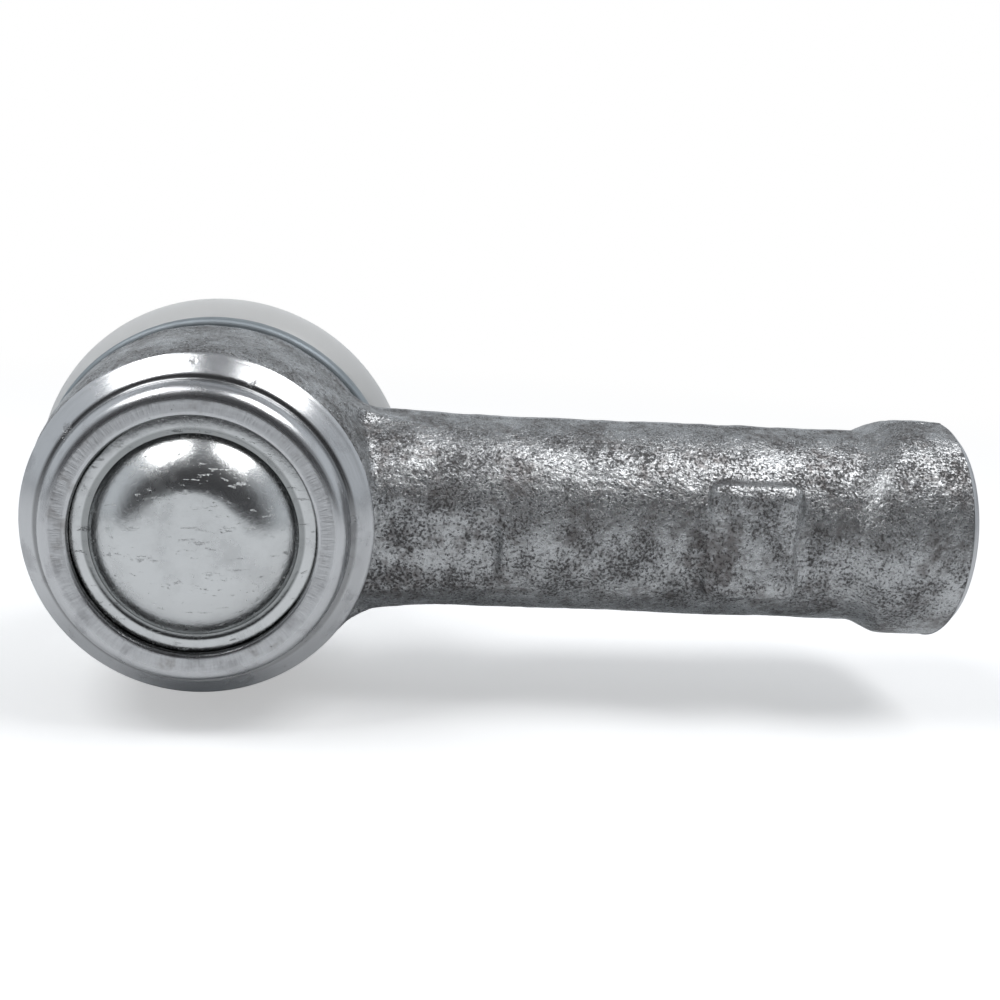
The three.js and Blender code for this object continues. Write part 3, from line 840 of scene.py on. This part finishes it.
def nut_bore(bm):
    rows = int(9 / STUD_PITCH * 10)
    wall = [(STUD_THREAD_R + 0.14, NUT_Y + 0.8 + 8.1 * i / rows) for i in range(rows + 1)]
    mouth = [(0, NUT_Y - 1), (6.6, NUT_Y - 1), (6.6, NUT_Y)]
    recess = [(7.5, 61.0), (7.5, 63.4), (6.95, 63.75), (6.9, NUT_TOP), (6.9, 65), (0, 65)]
    turn(bm, mouth + wall + recess, steps=96)
    walls = [v for v in bm.verts if abs(math.hypot(v.co.x, v.co.z) / MM - STUD_THREAD_R - 0.14) < 0.01]
    cut_thread(walls, STUD_AXIS, NUT_Y + 0.8, NUT_Y + 8.9, STUD_PITCH, STUD_THREAD_R + 0.14, 1)


def yellow_zinc(place):
    """Passivated zinc: pale straw with a faint iridescence, worn lighter in small patches."""
    tint = place.grain(0.004, 3, 0.6)
    rub = place.grain(0.0007, 4, 0.7).ramp(0.55, 0.75)
    straw = tint.ramp(0.35, 0.65).mix((0.70, 0.66, 0.50), (0.62, 0.63, 0.60))
    return {
        "Base Color": (rub * 0.4).mix(straw, (0.74, 0.75, 0.74)),
        "Metallic": 1.0,
        "Roughness": tint * 0.12 + rub * 0.1 + 0.2,
        "Normal": (place.grain(0.0006, 3) * 0.5 + rub * 0.3).bump(0.00003),
    }


nut_bar = hexagon(NUT_ACROSS, NUT_Y, NUT_HEX_TOP - NUT_Y)
nut = mesh_piece("lock_nut_hexagon", nut_bar, finish("yellow_zinc", yellow_zinc), smooth_angle=30)
envelope = [(0, NUT_Y), (8.75, NUT_Y), (10.5, NUT_Y + 0.95), (10.5, 60.0), (8.7, 61), (0, 61)]
rolled = [(0, 60), (COLLAR_R, 60), (COLLAR_R, 63.0)] + arc(7.3, 63.0, 1.0, 0, 90, 8) + [(0, NUT_TOP)]
for name, build, operation in (
    ("nut_envelope", nut_tool(envelope), "INTERSECT"),
    ("nut_collar", nut_tool(rolled), "UNION"),
    ("nut_bore", nut_bore, "DIFFERENCE"),
):
    other = mesh_piece(name, build, None)
    settle(nut, ("BOOLEAN", {"object": other, "operation": operation, "solver": "EXACT"}))
    bpy.data.objects.remove(other)
broken_edge = {"width": 0.12 * MM, "segments": 2, "limit_method": "ANGLE"}
settle(nut, ("BEVEL", {**broken_edge, "angle_limit": math.radians(50)}))
shade_smooth(nut, 30)
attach(nut, "stud")
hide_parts("lock_nut")


def insert_ring(bm):
    low, high = INSERT_Y, INSERT_Y + INSERT_LENGTH
    outline = [(5.75, low), (INSERT_R, low), (INSERT_R, high)]
    turn(bm, outline + arc(6.05, high - 0.3, 0.3, 90, 180, 5), steps=96, closed=True)


def nylon(place):
    return {
        "Base Color": place.grain(0.003, 3).mix((0.10, 0.22, 0.46), (0.14, 0.28, 0.52)),
        "Roughness": place.grain(0.0006, 3).ramp(0.3, 0.7, 0.36, 0.52),
        "Normal": place.grain(0.0004, 3).bump(0.00002),
    }


insert = mesh_piece("lock_nut_insert_ring", insert_ring, finish("nylon", nylon), smooth_angle=40)
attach(insert, "stud")
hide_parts("lock_nut_insert")
